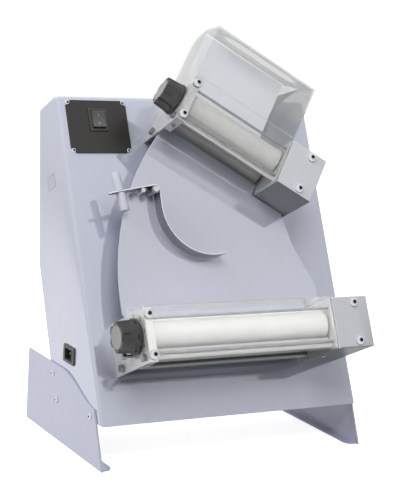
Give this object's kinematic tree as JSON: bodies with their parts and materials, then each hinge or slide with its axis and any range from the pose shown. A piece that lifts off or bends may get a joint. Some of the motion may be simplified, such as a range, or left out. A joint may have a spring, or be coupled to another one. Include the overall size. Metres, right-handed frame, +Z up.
{
  "type": "dough sheeter",
  "caption": "Two-stage dough sheeter: a leaning housing with a tilted upper and a level lower pair of rollers, clear guards, setting knobs and a swinging lever.",
  "frame": {"origin": "centre of the bounding box's footprint, on the surface the feet stand on", "axes": "+X to the right seen from the front, +Y to the back, +Z up; the working face leans back from -Y"},
  "size_m": [0.4526, 0.3628, 0.6464],
  "materials": {
    "grey_paint": "gloss lilac-grey powder coat",
    "steel_sheet": "satin stainless sheet",
    "bright_screws": "polished domed screws",
    "dark_steel": "turned steel",
    "roller_plastic": "off-white food-grade roller",
    "gear_nylon": "nylon",
    "belt_rubber": "black round belt",
    "motor_casting": "painted casting",
    "knob_black": "fine-textured black plastic",
    "knob_cap_grey": "grey insert",
    "dial_print": "printed dial ring",
    "clear_plastic": "clear polycarbonate",
    "sign_black": "dark control plate",
    "switch_black": "black plastic",
    "rocker_grey": "grey rocker",
    "handle_white": "smooth pale enamel"
  },
  "bodies": {
    "frame": {"housing_shell": "grey_paint", "rear_cover": "grey_paint", "foot_left": "grey_paint", "foot_right": "grey_paint", "chute_plate": "grey_paint", "infeed_plate": "grey_paint", "lower_gear_case": "grey_paint", "upper_gear_case": "grey_paint", "floor_plate": "steel_sheet", "lower_left_plate": "steel_sheet", "lower_wall_plate": "steel_sheet", "upper_left_plate": "steel_sheet", "upper_wall_plate": "steel_sheet", "lever_pivot": "steel_sheet", "lever_stop": "steel_sheet", "lower_front_scraper": "steel_sheet", "lower_rear_scraper": "steel_sheet", "upper_front_scraper": "steel_sheet", "upper_rear_scraper": "steel_sheet", "lower_box_screw_1": "bright_screws", "lower_box_screw_2": "bright_screws", "lower_box_screw_3": "bright_screws", "lower_box_screw_4": "bright_screws", "lower_belt": "belt_rubber", "lower_gearmotor": "motor_casting", "lower_dial_plate": "dial_print", "upper_box_screw_1": "bright_screws", "upper_box_screw_2": "bright_screws", "upper_box_screw_3": "bright_screws", "upper_box_screw_4": "bright_screws", "upper_belt": "belt_rubber", "upper_gearmotor": "motor_casting", "upper_dial_plate": "dial_print", "chute_post_top": "dark_steel", "chute_post_bottom": "dark_steel", "lower_guard": "clear_plastic", "upper_hood": "clear_plastic", "control_plate": "sign_black", "switch_bezel": "switch_black", "power_inlet": "switch_black"},
    "lower_knob_set": {"lower_knob": "knob_black", "lower_knob_cap": "knob_cap_grey", "lower_eccentric_bush": "dark_steel"},
    "lower_front_roll": {"lower_front_roller": "roller_plastic", "lower_front_gear": "gear_nylon"},
    "lower_rear_roll": {"lower_rear_roller": "roller_plastic", "lower_rear_gear": "gear_nylon"},
    "lower_drive": {"lower_motor_pulley": "dark_steel"},
    "upper_knob_set": {"upper_knob": "knob_black", "upper_knob_cap": "knob_cap_grey", "upper_eccentric_bush": "dark_steel"},
    "upper_front_roll": {"upper_front_roller": "roller_plastic", "upper_front_gear": "gear_nylon"},
    "upper_rear_roll": {"upper_rear_roller": "roller_plastic", "upper_rear_gear": "gear_nylon"},
    "upper_drive": {"upper_motor_pulley": "dark_steel"},
    "lever": {"lever_blade": "steel_sheet", "lever_handle": "handle_white"},
    "rocker": {"rocker_button": "rocker_grey"},
    "plunger": {"index_plunger": "steel_sheet"}
  },
  "joints": [
    {"name": "lower_rear_roller_spin", "type": "hinge", "parent": "frame", "child": "lower_rear_roll", "pos_m": [0, -0.08724, 0.184], "axis": [1, 0, 0], "continuous": true},
    {"name": "lower_setting_turn", "type": "hinge", "parent": "frame", "child": "lower_knob_set", "pos_m": [-0.188, -0.13098, 0.20495], "axis": [-1, 0, 0], "range_deg": [0, 176]},
    {"name": "lower_front_roller_spin", "type": "hinge", "parent": "lower_knob_set", "child": "lower_front_roll", "pos_m": [0, -0.12963, 0.20431], "axis": [1, 0, 0], "continuous": true},
    {"name": "lower_motor_spin", "type": "hinge", "parent": "frame", "child": "lower_drive", "pos_m": [0.1297, -0.00878, 0.14641], "axis": [1, 0, 0], "continuous": true},
    {"name": "upper_rear_roller_spin", "type": "hinge", "parent": "frame", "child": "upper_rear_roll", "pos_m": [0.05008, 0.03665, 0.44258], "axis": [0.8358, -0.2372, -0.4951], "continuous": true},
    {"name": "upper_setting_turn", "type": "hinge", "parent": "frame", "child": "upper_knob_set", "pos_m": [-0.06133, 0.02453, 0.52954], "axis": [-0.8358, 0.2372, 0.4951], "range_deg": [0, 176]},
    {"name": "upper_front_roller_spin", "type": "hinge", "parent": "upper_knob_set", "child": "upper_front_roll", "pos_m": [0.05008, -0.00574, 0.46289], "axis": [0.8358, -0.2372, -0.4951], "continuous": true},
    {"name": "upper_motor_spin", "type": "hinge", "parent": "frame", "child": "upper_drive", "pos_m": [0.09379, 0.1027, 0.37909], "axis": [0.8358, -0.2372, -0.4951], "continuous": true},
    {"name": "lever_swing", "type": "hinge", "parent": "frame", "child": "lever", "pos_m": [-0.1143, -0.01098, 0.3964], "axis": [0, -0.9018, 0.4321], "range_deg": [-30, 0]},
    {"name": "power_switch_rock", "type": "hinge", "parent": "frame", "child": "rocker", "pos_m": [-0.1596, 0.10013, 0.49175], "axis": [1, 0, 0], "range_deg": [-8, 8]},
    {"name": "plunger_pull", "type": "slide", "parent": "frame", "child": "plunger", "axis": [-1, 0, 0], "range_m": [0, 0.004], "stiffness_N_per_m": 200, "springref_m": -0.002}
  ],
  "couplings": [
    {"joint": "lower_front_roller_spin", "follows": "lower_rear_roller_spin", "ratio": -1},
    {"joint": "lower_motor_spin", "follows": "lower_rear_roller_spin", "ratio": 1.5},
    {"joint": "upper_front_roller_spin", "follows": "upper_rear_roller_spin", "ratio": -1},
    {"joint": "upper_motor_spin", "follows": "upper_rear_roller_spin", "ratio": 1.5}
  ]
}
